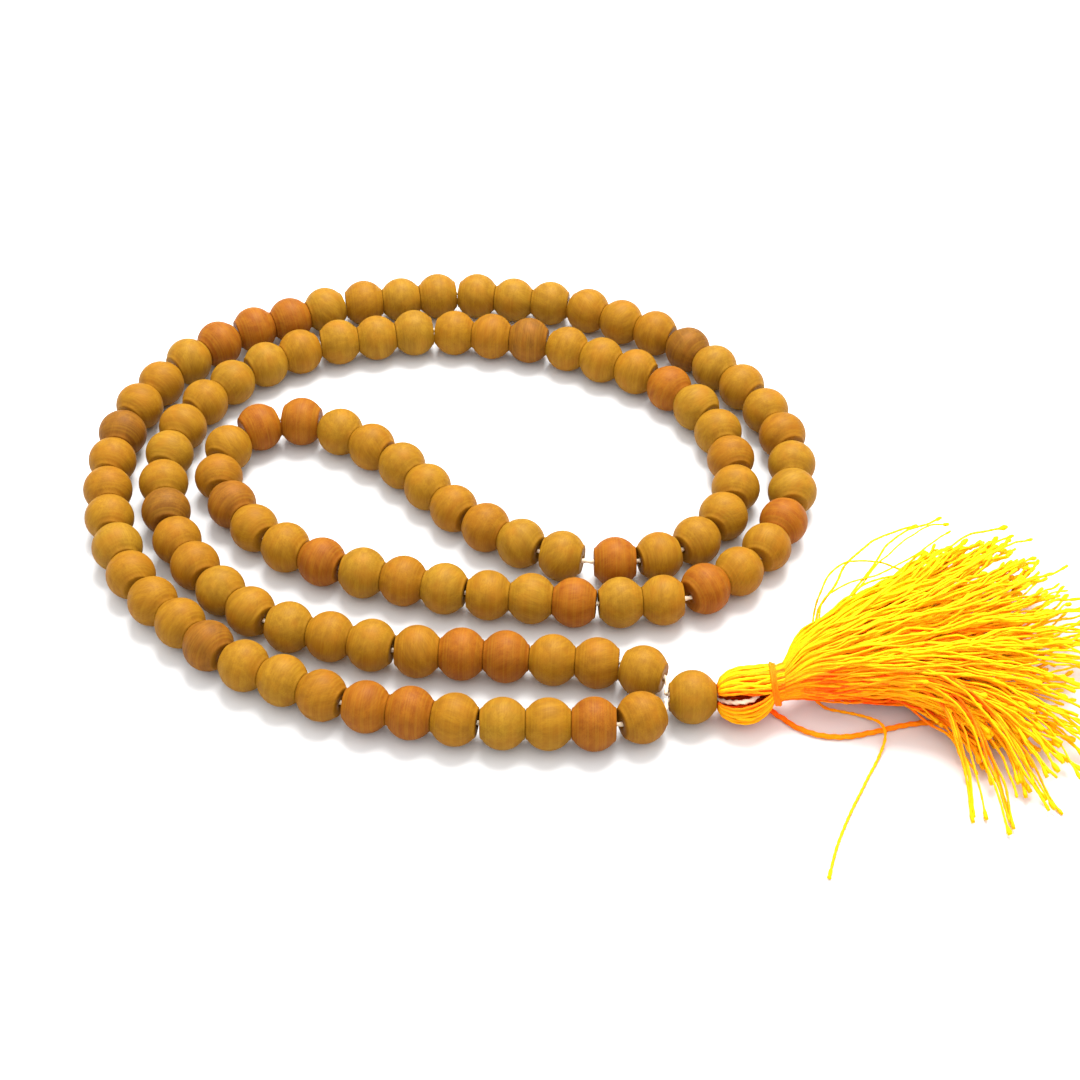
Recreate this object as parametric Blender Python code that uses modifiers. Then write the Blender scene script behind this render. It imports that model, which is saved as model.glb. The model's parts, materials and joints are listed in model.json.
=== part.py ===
"""Mala prayer beads, lying on a table as a loop doubled back into itself.

109 turned wooden beads and a guru bead are threaded on one string. Both ends of the string meet
at the guru bead, and a small loop through its bore holds a tassel of folded thread.

Frame: metres, +Z up, origin on the table below the middle of the object, +X towards the tassel.
The dimensions below are in millimetres and are scaled once, by MM, where an object is made.
"""
import bpy
from math import atan2, cos, degrees, pi, radians, sin
from mathutils import Matrix, Vector

MM = 0.001
MERGE_DISTANCE = 0.00001

# Beads: turned shapes with flats, whose diameter is measured across the flats
BEAD_COUNT = 109
BEAD_DIAMETER = 8.0
BEAD_LENGTH = 6.597
BEAD_SIDES = 10
BEAD_END_RADIUS = 1.1
BEAD_SHOULDER_RADIUS = 3.2
BEAD_SHOULDER_INSET = 1.0
BEAD_BAND = 1.7
BEAD_BORE_RADIUS = 0.68
GURU_LENGTH = 6.9
GURU_BORE_RADIUS = 1.25
STRING_HEIGHT = BEAD_DIAMETER / 2

# Beads are turned in straight pieces of up to three, as far as the string's bend in degrees allows.
BEND_OF_PIECE = {3: 22.0, 2: 30.0, 1: 360.0}
GAP_BETWEEN_PIECES = 0.14
SLACK_AFTER_BEAD = 70
SLACK = 1.4

# String, and the loop that carries the guru bead and the tassel
STRING_DIAMETER = 0.8
LEG_SPACING = 1.0
GURU_CENTRE = (15.7, -37.0)
PIVOT_FROM_GURU_FACE = 0.1
LEG_END_GAP = 0.25
LOOP_RING_RADIUS = 2.1
LOOP_RING_OPENING = 50.0
LOOP_RING_STEPS = 16
LOOP_RING_FROM_HEAD = 2.8

# Tassel: head, neck binding and skirt on one axis
HEAD_FROM_GURU = 0.6
HEAD_LENGTH = 8.4
HEAD_DIAMETER = 8.3
HEAD_FULLNESS = 0.8
HEAD_SIDES = 16
HEAD_RINGS = 9
SLOT_HEIGHT = 1.5
SLOT_POST_RADIUS = 1.3
SLOT_RADIUS = 4.3
SLOT_SIDES = 24
NECK_RADIUS = 2.1
NECK_LENGTH = 2.6
NECK_FILLET = 0.25
BINDING_RADIUS = 3.0
BINDING_LENGTH = 1.7
BINDING_BAND = 0.7
BINDING_BEVEL = 0.15
BINDING_TILT = 8.0
BINDING_CLEARANCE = 0.35
TAIL_DIAMETER = 0.8
STRAY_DIAMETER = 0.5

# The string's route over the table: from the guru bead along the near row, once round the outside,
# back to a hairpin, once round the inside, and back along the second row to the guru bead
ROUTE = (
    (11.6, -39.4), (8.5, -41.5), (-16.0, -41.8), (-44.0, -34.8), (-66.2, -17.8), (-75.9, 3.5),
    (-75.0, 24.5), (-65.2, 41.4), (-48.0, 52.0), (-25.0, 57.4), (-3.0, 55.0), (16.0, 45.4),
    (30.0, 29.5), (35.2, 12.0), (29.8, -6.0), (16.0, -17.2), (-5.0, -17.8), (-26.0, -14.2),
    (-46.0, -7.0), (-55.6, 2.0), (-59.2, 12.0), (-55.8, 20.6), (-47.0, 24.0), (-33.4, 17.0),
    (-16.0, -1.6), (0.0, -9.2), (15.0, -7.2), (24.6, 4.2), (24.0, 20.0), (13.0, 34.6),
    (-7.0, 44.6), (-31.0, 46.9), (-52.0, 39.8), (-65.3, 24.8), (-67.6, 6.5), (-61.1, -9.2),
    (-46.5, -22.8), (-18.0, -29.2), (2.0, -29.6), (11.9, -33.3),
)

ROUTE_STEPS = 40

# The skirt's sections from the neck to the tips: its far edge, its near edge, how far its middle
# bulges towards the tips, its underside and its top
SKIRT_SECTIONS = (
    ((31.3, -35.0), (31.3, -39.0), 0.0, 2.2, 6.1),
    ((34.3, -30.0), (35.4, -39.6), 0.0, 1.2, 10.8),
    ((40.0, -22.0), (44.0, -37.8), 0.0, 1.2, 13.0),
    ((47.0, -14.5), (51.0, -40.0), 1.0, 1.2, 12.5),
    ((54.0, -6.5), (54.5, -47.5), 4.0, 0.5, 11.0),
    ((60.0, -0.8), (57.0, -56.0), 9.0, 0.0, 8.5),
    ((66.0, -1.2), (62.5, -60.3), 10.5, 0.0, 6.0),
    ((71.5, -5.5), (69.0, -57.5), 9.5, 0.0, 3.5),
)
SKIRT_SECTION_POINTS = 12

# The binding thread's loose tail and one stray skirt thread, both lying on the table
TAIL_ROUTE = (
    (29.2, -38.2, 0.42), (30.4, -39.4, 0.42), (32.0, -40.4, 0.42), (33.6, -41.1, 0.42),
    (35.4, -41.5, 0.42),
    (37.2, -41.6, 0.42), (39.2, -41.4, 0.42), (41.2, -40.9, 0.42), (43.2, -40.4, 0.42),
    (45.2, -39.8, 0.42), (47.2, -39.3, 0.42), (49.2, -39.0, 0.42), (51.2, -38.8, 0.42),
    (53.2, -38.9, 0.42), (55.2, -39.3, 0.42), (57.0, -39.8, 0.42), (58.8, -40.6, 0.42),
)
STRAY_ROUTE = (
    (35.5, -36.2, 0.3), (37.6, -36.6, 0.3), (39.6, -37.2, 0.4), (41.4, -38.2, 0.8),
    (42.9, -39.5, 1.3), (43.5, -41.0, 1.45), (43.4, -42.6, 1.1), (42.6, -44.6, 0.5),
    (41.6, -46.6, 0.3), (40.4, -48.8, 0.27), (39.2, -51.2, 0.27), (37.9, -53.7, 0.27),
    (36.7, -56.2, 0.27), (35.6, -58.7, 0.27), (34.6, -61.2, 0.27), (33.8, -63.7, 0.27),
    (33.0, -66.4, 0.27),
)


def material(name, colour, roughness):
    """A Principled material of one colour, which is linear RGB."""
    made = bpy.data.materials.new(name)
    made.use_nodes = True
    shader = made.node_tree.nodes["Principled BSDF"]
    shader.inputs["Base Color"].default_value = (*colour, 1.0)
    shader.inputs["Roughness"].default_value = roughness
    made.diffuse_color = (*colour, 1.0)
    return made


def place(mesh, name, finish, collection):
    """A new object of this mesh or curve."""
    made = bpy.data.objects.new(name, mesh)
    if not mesh.materials:
        mesh.materials.append(finish)
    collection.objects.link(made)
    return made


def outline(name, points):
    """A closed wire in the XZ plane, the profile that Screw turns about Z."""
    mesh = bpy.data.meshes.new(name)
    count = len(points)
    edges = [(i, (i + 1) % count) for i in range(count)]
    mesh.from_pydata([(x * MM, 0.0, z * MM) for x, z in points], edges, [])
    return mesh


def turn(item, sides):
    """Turns an object's profile all the way round its own Z axis."""
    screw = item.modifiers.new("Turn", "SCREW")
    screw.axis = "Z"
    screw.angle = 2 * pi
    screw.steps = screw.render_steps = sides
    screw.use_merge_vertices = True
    screw.merge_threshold = MERGE_DISTANCE


def bead_outline(name, beads, length, bore):
    """The profile of some beads that are turned in one piece, with the bore through them."""
    across_corners = BEAD_DIAMETER / 2 / cos(pi / BEAD_SIDES)
    shoulder = length / 2 - BEAD_SHOULDER_INSET
    band = BEAD_BAND / 2
    points = []
    for k in range(beads):
        middle = ((beads - 1) / 2 - k) * length
        points.append((bore + BEAD_END_RADIUS - BEAD_BORE_RADIUS, middle + length / 2))
        points.append((BEAD_SHOULDER_RADIUS, middle + shoulder))
        points.append((across_corners, middle + band))
        points.append((across_corners, middle - band))
        points.append((BEAD_SHOULDER_RADIUS, middle - shoulder))
    end = beads * length / 2
    points.append((bore + BEAD_END_RADIUS - BEAD_BORE_RADIUS, -end))
    points.append((bore, -end))
    points.append((bore, end))
    return outline(name, points)


def lay_along(item, centre, direction):
    """Puts an object's Z axis along a level direction, with a flat of its turned shape down."""
    across = Vector((0.0, 0.0, 1.0)).cross(direction)
    level = Matrix((Vector((0.0, 0.0, 1.0)), across, direction)).transposed().to_4x4()
    half_side = Matrix.Rotation(pi / BEAD_SIDES, 4, "Z")
    item.matrix_world = Matrix.Translation(centre * MM) @ level @ half_side


def smooth_line(points, steps):
    """Points of a centripetal Catmull-Rom curve through the given ones."""
    given = [Vector(p) for p in points]
    given = [2 * given[0] - given[1], *given, 2 * given[-1] - given[-2]]
    line = []
    for a, b, c, d in zip(given, given[1:], given[2:], given[3:]):
        t1 = (b - a).length ** 0.5
        t2 = t1 + (c - b).length ** 0.5
        t3 = t2 + (d - c).length ** 0.5
        for k in range(steps):
            t = t1 + (t2 - t1) * k / steps
            ab = a.lerp(b, t / t1)
            bc = b.lerp(c, (t - t1) / (t2 - t1))
            cd = c.lerp(d, (t - t2) / (t3 - t2))
            abc = ab.lerp(bc, t / t2)
            bcd = bc.lerp(cd, (t - t1) / (t3 - t1))
            line.append(abc.lerp(bcd, (t - t1) / (t2 - t1)))
    line.append(given[-2])
    return line


class Course:
    """A line that is read by the distance along it."""

    HEADING_REACH = 1.5
    MOST_DETOUR = 1.4
    HALVINGS = 40

    def __init__(self, line):
        self.line = line
        self.at = [0.0]
        for a, b in zip(line, line[1:]):
            self.at.append(self.at[-1] + (b - a).length)
        self.length = self.at[-1]

    def point(self, distance):
        """The point at this distance, on the last segment's extension beyond the end."""
        low, high = 0, len(self.at) - 2
        while low < high:
            middle = (low + high + 1) // 2
            if self.at[middle] <= distance:
                low = middle
            else:
                high = middle - 1
        part = (distance - self.at[low]) / (self.at[low + 1] - self.at[low])
        return self.line[low] + (self.line[low + 1] - self.line[low]) * part

    def heading(self, distance):
        """The direction, read over a short stretch."""
        ahead = self.point(min(distance + self.HEADING_REACH, self.length))
        step = ahead - self.point(max(distance - self.HEADING_REACH, 0.0))
        return atan2(step.y, step.x)

    def bend(self, start, end):
        """How far the line turns between two distances, in radians."""
        turned = self.heading(end) - self.heading(start)
        return abs((turned + pi) % (2 * pi) - pi)

    def beyond(self, start, straight):
        """The distance at which the line is this far from its point at start, as the crow flies."""
        low, high = start, start + self.MOST_DETOUR * straight
        for _ in range(self.HALVINGS):
            middle = (low + high) / 2
            if (self.point(middle) - self.point(start)).length < straight:
                low = middle
            else:
                high = middle
        return high


def thread_beads(course):
    """Walks along the route and returns each piece's first bead, bead count, start and end."""
    pieces = []
    first, reached = 1, 0.0
    while first <= BEAD_COUNT:
        for beads, most_bend in BEND_OF_PIECE.items():
            last = first + beads - 1
            if last > BEAD_COUNT or first <= SLACK_AFTER_BEAD < last:
                continue
            bend = course.bend(reached, reached + beads * BEAD_LENGTH)
            if degrees(bend) <= most_bend:
                break
        taken = beads * BEAD_LENGTH + GAP_BETWEEN_PIECES + BEAD_END_RADIUS * bend
        if last == SLACK_AFTER_BEAD:
            taken += SLACK
        start = course.point(reached)
        reached = course.beyond(reached, taken)
        pieces.append((first, beads, start, course.point(reached)))
        first = last + 1
    return pieces


def make_beads(pieces, finishes, collection):
    """The beads on the string, in their straight pieces."""
    outlines = {}
    for beads in BEND_OF_PIECE:
        outlines[beads] = bead_outline(f"beads_{beads}", beads, BEAD_LENGTH, BEAD_BORE_RADIUS)
    for number, (first, beads, start, end) in enumerate(pieces):
        last = first + beads - 1
        name = f"bead_{first:03d}" if beads == 1 else f"beads_{first:03d}_{last:03d}"
        finish = finishes[number % len(finishes)]
        piece = place(outlines[beads].copy(), name, finish, collection)
        turn(piece, BEAD_SIDES)
        direction = (end - start).normalized()
        centre = (start + end) / 2
        if last == SLACK_AFTER_BEAD:
            centre -= direction * SLACK / 2
        lay_along(piece, centre, direction)


def make_guru(finish, collection):
    """The bead that both ends of the string meet at, with a wider bore for two legs."""
    mesh = bead_outline("guru", 1, GURU_LENGTH, GURU_BORE_RADIUS)
    guru = place(mesh, "guru_bead", finish, collection)
    turn(guru, BEAD_SIDES)
    lay_along(guru, Vector((*GURU_CENTRE, STRING_HEIGHT)), Vector((1.0, 0.0, 0.0)))


def make_tube(name, points, diameter, finish, collection):
    """A thread as a round tube through the points."""
    curve = bpy.data.curves.new(name, "CURVE")
    curve.dimensions = "3D"
    curve.bevel_depth = diameter / 2 * MM
    curve.bevel_resolution = 2
    curve.use_fill_caps = True
    spline = curve.splines.new("POLY")
    spline.points.add(len(points) - 1)
    for knot, point in zip(spline.points, points):
        knot.co = (*(point * MM), 1.0)
    return place(curve, name, finish, collection)


def guru_mouth():
    """Where both ends of the string meet the guru bead's loop: its x, and the two legs' y."""
    x = GURU_CENTRE[0] - GURU_LENGTH / 2 - PIVOT_FROM_GURU_FACE
    legs = (GURU_CENTRE[1] - LEG_SPACING / 2, GURU_CENTRE[1] + LEG_SPACING / 2)
    return x, legs


def make_string(pieces, finish, collection):
    """The string through all the beads, straight in each piece and bent between them."""
    x, (near, far) = guru_mouth()
    x -= LEG_END_GAP
    points = [Vector((x, near, STRING_HEIGHT))]
    points += [start for _, _, start, _ in pieces]
    points.append(pieces[-1][3])
    points.append(Vector((x, far, STRING_HEIGHT)))
    make_tube("loop_string", points, STRING_DIAMETER, finish, collection)


def head_start():
    """The x at which the tassel's head begins."""
    return GURU_CENTRE[0] + GURU_LENGTH / 2 + HEAD_FROM_GURU


def ring_centre():
    """The middle of the string loop's ring, which is the axis that the tassel swings on."""
    return Vector((head_start() + LOOP_RING_FROM_HEAD, GURU_CENTRE[1], STRING_HEIGHT))


def make_string_loop(finish, collection):
    """Two legs through the guru bead's bore, joined by a ring round the tassel head's post."""
    x, (near, far) = guru_mouth()
    x += LEG_END_GAP
    centre = ring_centre()
    bend_x = GURU_CENTRE[0] + GURU_LENGTH / 2
    start = Vector((x, near, STRING_HEIGHT))
    points = [start, Vector((bend_x, near, STRING_HEIGHT))]
    opening = radians(LOOP_RING_OPENING)
    for k in range(LOOP_RING_STEPS + 1):
        angle = -pi + opening / 2 + (2 * pi - opening) * k / LOOP_RING_STEPS
        points.append(centre + LOOP_RING_RADIUS * Vector((cos(angle), sin(angle), 0.0)))
    points += [Vector((bend_x, far, STRING_HEIGHT)), Vector((x, far, STRING_HEIGHT))]
    make_tube("string_loop", points, STRING_DIAMETER, finish, collection)


def make_head(finish, collection, cutters):
    """The ball of folded thread and its neck, with a slit round the post that the loop goes round."""
    radius = HEAD_DIAMETER / 2
    half = HEAD_LENGTH / 2
    points = [(0.0, half)]
    for k in range(1, HEAD_RINGS + 1):
        angle = pi * k / (HEAD_RINGS + 1)
        across = radius * sin(angle) ** HEAD_FULLNESS
        if k > HEAD_RINGS // 2 and across < NECK_RADIUS:
            break
        points.append((across, half * cos(angle)))
    neck_end = -half - NECK_LENGTH
    points += [(NECK_RADIUS, NECK_FILLET - half), (NECK_RADIUS, neck_end), (0.0, neck_end)]
    mesh = outline("head", points)
    head = place(mesh, "tassel_head", finish, collection)
    turn(head, HEAD_SIDES)
    centre = Vector((head_start() + half, GURU_CENTRE[1], radius))
    face_down = Matrix.Rotation(-pi / 2, 4, "Y") @ Matrix.Rotation(pi / HEAD_SIDES, 4, "Z")
    head.matrix_world = Matrix.Translation(centre * MM) @ face_down
    low, high = -SLOT_HEIGHT / 2, SLOT_HEIGHT / 2
    ring = ((SLOT_POST_RADIUS, high), (SLOT_RADIUS, high), (SLOT_RADIUS, low), (SLOT_POST_RADIUS, low))
    slot = place(outline("slot", ring), "slot_cutter", finish, cutters)
    turn(slot, SLOT_SIDES)
    slot.location = ring_centre() * MM
    slot.hide_render = True
    slot.display_type = "WIRE"
    cut = head.modifiers.new("Slit", "BOOLEAN")
    cut.operation = "DIFFERENCE"
    cut.solver = "EXACT"
    cut.object = slot


def make_binding(finish, collection):
    """The thread wound round the neck, as one slanted ring."""
    inside = NECK_RADIUS + BINDING_CLEARANCE
    edge = BINDING_RADIUS - BINDING_BEVEL
    half, band = BINDING_LENGTH / 2, BINDING_BAND / 2
    points = (
        (inside, half), (edge, half), (BINDING_RADIUS, band), (BINDING_RADIUS, -band),
        (edge, -half), (inside, -half),
    )
    binding = place(outline("binding", points), "tassel_binding", finish, collection)
    turn(binding, HEAD_SIDES)
    middle = head_start() + HEAD_LENGTH + NECK_LENGTH / 2
    binding.location = Vector((middle, GURU_CENTRE[1], HEAD_DIAMETER / 2)) * MM
    binding.rotation_euler = (0.0, -pi / 2 + radians(BINDING_TILT), 0.0)


def make_skirt(finish, collection):
    """The loose threads as one fan-shaped solid, lofted from the neck to the tips."""
    count = SKIRT_SECTION_POINTS
    corners = []
    for far, near, bulge, under, top in SKIRT_SECTIONS:
        for k in range(count):
            angle = 2 * pi * k / count
            across = (1 - cos(angle)) / 2
            x = far[0] + (near[0] - far[0]) * across + bulge * sin(angle) ** 2
            y = far[1] + (near[1] - far[1]) * across
            z = (under + top) / 2 + (top - under) / 2 * sin(angle)
            corners.append((x * MM, y * MM, z * MM))
    faces = [tuple(reversed(range(count)))]
    rings = len(SKIRT_SECTIONS)
    for ring in range(rings - 1):
        for k in range(count):
            a = ring * count + k
            b = ring * count + (k + 1) % count
            faces.append((a, b, b + count, a + count))
    faces.append(tuple(range((rings - 1) * count, rings * count)))
    mesh = bpy.data.meshes.new("skirt")
    mesh.from_pydata(corners, [], faces)
    mesh.shade_smooth()
    place(mesh, "tassel_skirt", finish, collection)


def main():
    for old in list(bpy.data.objects):
        bpy.data.objects.remove(old, do_unlink=True)
    collection = bpy.data.collections.new("mala_prayer_beads")
    cutters = bpy.data.collections.new("cutters")
    bpy.context.scene.collection.children.link(collection)
    bpy.context.scene.collection.children.link(cutters)

    woods = (
        material("wood_golden", (0.50, 0.27, 0.07), 0.5),
        material("wood_tan", (0.42, 0.20, 0.05), 0.5),
        material("wood_russet", (0.48, 0.14, 0.03), 0.5),
    )
    string = material("string", (0.70, 0.60, 0.45), 0.8)
    thread = material("tassel_thread", (1.0, 0.62, 0.02), 0.6)
    binding_thread = material("binding_thread", (0.95, 0.25, 0.01), 0.6)

    route = [(x, y, STRING_HEIGHT) for x, y in ROUTE]
    course = Course(smooth_line(route, ROUTE_STEPS))
    pieces = thread_beads(course)
    make_beads(pieces, woods, collection)
    make_guru(woods[0], collection)
    make_string(pieces, string, collection)
    make_string_loop(string, collection)
    make_head(thread, collection, cutters)
    make_binding(binding_thread, collection)
    make_skirt(thread, collection)
    tail = [Vector(point) for point in TAIL_ROUTE]
    make_tube("binding_tail", tail, TAIL_DIAMETER, binding_thread, collection)
    stray = [Vector(point) for point in STRAY_ROUTE]
    make_tube("stray_thread", stray, STRAY_DIAMETER, thread, collection)


main()
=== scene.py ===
"""Looks of the mala prayer beads: turned wooden beads on a twisted string, and a thread tassel.

Lengths below are in millimetres and are scaled once, by MM, where a mesh or a curve is made.
"""
import json
import random
from math import asin, cos, pi, radians, sin, tan

import bpy
import numpy as np
from mathutils import Matrix, Vector


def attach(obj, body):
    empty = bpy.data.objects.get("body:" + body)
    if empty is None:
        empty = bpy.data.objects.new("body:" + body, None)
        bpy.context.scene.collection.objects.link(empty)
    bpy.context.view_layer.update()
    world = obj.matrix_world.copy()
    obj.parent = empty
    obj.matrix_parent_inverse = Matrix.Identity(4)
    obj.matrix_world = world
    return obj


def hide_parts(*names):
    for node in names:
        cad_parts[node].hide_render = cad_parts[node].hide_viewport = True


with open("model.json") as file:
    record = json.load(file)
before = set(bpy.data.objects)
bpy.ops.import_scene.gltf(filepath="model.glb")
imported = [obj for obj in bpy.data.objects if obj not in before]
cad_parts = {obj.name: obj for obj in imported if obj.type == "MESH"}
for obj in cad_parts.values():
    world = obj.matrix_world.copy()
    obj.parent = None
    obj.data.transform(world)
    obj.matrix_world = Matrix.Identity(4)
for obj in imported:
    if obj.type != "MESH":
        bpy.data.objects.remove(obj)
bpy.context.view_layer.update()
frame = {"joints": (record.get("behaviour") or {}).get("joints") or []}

MM = 0.001

# Camera and light
CAMERA_PLACE = (-6.5, -230.8, 229.9)
CAMERA_TILT = 45.03
CAMERA_LENS = 67.94
SENSOR_WIDTH = 36.0
FLOOR_SIZE = 6000.0
KEY_PLACE = (50.0, 340.0, 660.0)
KEY_SIZE = 420.0
KEY_POWER = 10.0
SKY_AT_HORIZON = 0.3
SKY_OVERHEAD = 2.2

# Beads: turned near to spheres, with flat bored ends. The crown is the full length of the ellipse
# that the flat ends cut off, and the smallest bead is a share of the largest.
BEAD_LENGTH = 6.597
BEAD_DIAMETER = 8.0
SMALLEST_BEAD = 0.958
BEAD_CROWN = 7.5
BEAD_RINGS = 18
BEAD_SIDES = 40
BORE_RADIUS = 0.62
BORE_LIP = 0.12
EDGE_ROUNDING = 0.32
# The rounded edge from a flat end outwards: how far in and how far down, in parts of the rounding
EDGE_STEPS = ((1.5, 0.0), (0.75, 0.12), (0.25, 0.45))
# A gap between two pieces above this is left open, as slack in the string
SLACK_GAP = 1.0
RUSSET_BEADS = (2, 6, 7, 23, 24, 25, 43, 46, 49, 55, 61, 62, 71, 79, 105, 106)
BROWN_BEADS = (11, 19, 36, 58, 83, 96)
GURU_NUMBER = 110
GURU_LENGTH = 6.9
GURU_BORE_RADIUS = 1.2
GURU_CENTRE = (15.7, -37.0)
GURU_MOUTH = GURU_CENTRE[0] - GURU_LENGTH / 2
GURU_BACK = GURU_CENTRE[0] + GURU_LENGTH / 2

# Wood: the tones a bead of each kind can have, the colours along the tones, and how strongly the
# marks show
WOOD_TONES = {"wood_golden": (0.0, 0.60), "wood_russet": (0.74, 0.84), "wood_tan": (0.92, 1.0)}
LIGHT_WOOD = (
    (0.0, (0.318, 0.162, 0.010)), (0.35, (0.314, 0.144, 0.006)), (0.62, (0.292, 0.116, 0.005)),
    (0.80, (0.290, 0.088, 0.004)), (1.0, (0.215, 0.084, 0.007)),
)
DARK_WOOD = (
    (0.0, (0.196, 0.086, 0.004)), (0.35, (0.200, 0.077, 0.003)), (0.62, (0.182, 0.060, 0.002)),
    (0.80, (0.186, 0.042, 0.002)), (1.0, (0.120, 0.042, 0.003)),
)
RUDDY_WOOD = (0.320, 0.108, 0.004, 1.0)
TURNED_WOOD = (0.39, 0.205, 0.014, 1.0)
BAND_STRENGTH = 0.6
FIBRE_STRENGTH = 0.5
RUDDY_STRENGTH = 0.4
TURNED_STRENGTH = 0.2

# Threads: pale, plain and deep colours. A twist is the length of one turn of the plies, and lobes
# are how deep the plies part.
COTTON = ((0.96, 0.84, 0.66), (0.88, 0.72, 0.52), (0.66, 0.46, 0.30))
YELLOW = ((1.0, 0.60, 0.0), (1.0, 0.34, 0.0), (1.0, 0.09, 0.0))
ORANGE = ((1.0, 0.42, 0.0), (1.0, 0.22, 0.0), (0.95, 0.10, 0.0))
# How much light soaks into dyed thread, and how strongly its fine and its slow noise show
DYED_GLOW = 0.3
FLECK = 0.35
MOTTLE = 0.4

# String and the loop that carries the guru bead and the tassel. Steps are the spacing of points
# along a line, and STRING_START is how far outside the guru bead the string starts.
STRING_HEIGHT = 4.0
STRING_DIAMETER = 0.8
STRING_TWIST = 2.6
STRING_LOBES = 0.18
STRING_STEP = 0.4
STRING_START = 0.35
LOOP_LOBES = 0.2
FINE_STEP = 0.16
LEG_SPACING = 1.0
NEAR_LEG = GURU_CENTRE[1] - LEG_SPACING / 2
FAR_LEG = GURU_CENTRE[1] + LEG_SPACING / 2
RING_ROUTE = (
    (20.6, -38.7, 4.9), (22.4, -39.8, 6.1), (24.2, -39.4, 6.2), (25.2, -37.6, 5.8), (24.4, -35.2, 4.4),
    (22.0, -34.9, 4.0), (20.4, -36.0, 4.0),
)

# Tassel
THREAD_DIAMETER = 0.44
THREAD_TWIST = 3.1
THREAD_LOBES = 0.12
HEAD_RADIUS = 4.35
NECK_RADIUS = 2.75
HEAD_FRONT = (19.25, -37.0, 4.2)
HEAD_MIDDLE = (23.6, -37.0, 4.4)
NECK_PLACE = (27.5, -35.7, 5.2)
NECK_END = (28.9, -35.3, 5.4)
HEAD_SEED = 7
HEAD_RINGS = 56
# Layers of the head's thread: how deep each lies under the surface, and how many threads it has
HEAD_LAYERS = ((0.22, 54), (0.55, 46), (0.95, 38), (1.4, 28), (1.9, 20))
# The head's eye: degrees up to it from level on the viewer's side, and how far it opens
EYE_ANGLE = 33.0
EYE_OPENING = 1.15
# The neck binding: its turns and the steps of each, how far it spreads and slants along the neck,
# and how far past the neck and above the thread it lies
WINDING_TURNS = 3
WINDING_STEPS = 24
WINDING_WIDTH = 0.85
WINDING_SLANT = 0.22
WINDING_SHIFT = 0.3
WINDING_LIFT = 0.2
WINDING_DIAMETER = 0.46
WINDING_TWIST = 2.6
# The skirt
SKIRT_SEED = 100
SKIRT_RINGS = 84
# The rings at which a skirt thread's tone turns, from the neck to the tip, with painted shade deeper where
# it goes into the neck and painted light paler at its tip
TONE_RINGS = (0, 10, 34, 46, 74, 83)
FAN_STEPS = 40
BED_THREADS = 190
SKIRT_LOCKS = 54
LOCK_THREADS = 9
NEAR_LOCK_THREADS = 4
SKIRT_PARTS = 6
# How far the threads fill the neck's section, and how far each kind of thread waves
NECK_FILL = 0.85
SKIRT_WAVE = 0.85
NEAR_LOCK_WAVE = 0.6
FLYAWAY_WAVE = 0.35
# A thread's kinks: their lengths and their shares of the wave
KINKS = ((21.0, 0.62), (9.5, 0.30), (4.6, 0.11))
KINK_WEIGHTS = (0.5, 0.8, 0.55)
KINK_SETTLE = 0.25
TIP_RINGS = 4
# Loose threads on the table. Their twist is in diameters.
TAIL_DIAMETER = 0.9
STRAY_DIAMETER = 0.5
TABLE_STEP = 0.2
TABLE_TWIST = 5.5
TABLE_LOBES = 0.14

# The string's route: from the guru bead along the near row, once round the outside, back to a
# hairpin, once round the inside, and back along the second row to the guru bead
ROUTE = (
    (11.6, -39.4), (8.5, -41.5), (-16.0, -41.8), (-44.0, -34.8), (-66.2, -17.8), (-75.9, 3.5),
    (-75.0, 24.5), (-65.2, 41.4), (-48.0, 52.0), (-25.0, 57.4), (-3.0, 55.0), (16.0, 45.4),
    (30.0, 29.5), (35.2, 12.0), (29.8, -6.0), (16.0, -17.2), (-5.0, -17.8), (-26.0, -14.2),
    (-46.0, -7.0), (-55.6, 2.0), (-59.2, 12.0), (-55.8, 20.6), (-47.0, 24.0), (-33.4, 17.0),
    (-16.0, -1.6), (0.0, -9.2), (15.0, -7.2), (24.6, 4.2), (24.0, 20.0), (13.0, 34.6),
    (-7.0, 44.6), (-31.0, 46.9), (-52.0, 39.8), (-65.3, 24.8), (-67.6, 6.5), (-61.1, -9.2),
    (-46.5, -22.8), (-18.0, -29.2), (2.0, -29.6), (11.9, -33.3),
)

# The top of the skirt, as threads from the neck to their tips, from its far edge to its near edge,
# and the height of its underside along them
SKIRT_TOP = (
    ((28.5, -32.7, 7.4), (31.7, -30.3, 10.0), (38.3, -25.4, 12.5), (46.3, -19.5, 11.5), (55.6, -8.3, 7.5)),
    ((28.4, -33.4, 7.6), (33.6, -31.2, 11.0), (43.5, -26.3, 13.0), (53.6, -19.5, 11.0), (66.3, -5.7, 6.5)),
    ((28.4, -34.3, 7.6), (34.7, -34.0, 11.0), (44.6, -31.1, 13.0), (58.2, -24.4, 11.0), (73.7, -13.1, 6.0)),
    ((28.3, -35.5, 7.4), (36.0, -36.4, 10.5), (47.7, -35.4, 12.5), (62.8, -30.8, 9.5), (80.3, -25.7, 5.0)),
    ((28.3, -36.4, 6.8), (36.0, -37.4, 9.5), (47.4, -38.7, 11.5), (61.6, -39.7, 8.0), (75.5, -44.1, 3.5)),
    ((28.3, -36.7, 5.6), (36.0, -38.4, 8.0), (47.5, -39.7, 9.5), (59.3, -44.3, 6.5), (64.9, -55.3, 1.2)),
    ((28.4, -36.8, 4.6), (36.2, -38.0, 6.0), (46.1, -39.3, 7.0), (55.4, -44.4, 5.0), (58.3, -58.4, 0.8)),
    ((28.5, -36.7, 3.4), (36.6, -37.1, 3.6), (46.7, -38.0, 3.6), (52.9, -44.7, 2.6), (54.7, -57.8, 0.6)),
)
SKIRT_UNDERSIDE = (3.2, 3.0, 2.4, 1.2, 0.4)

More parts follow.
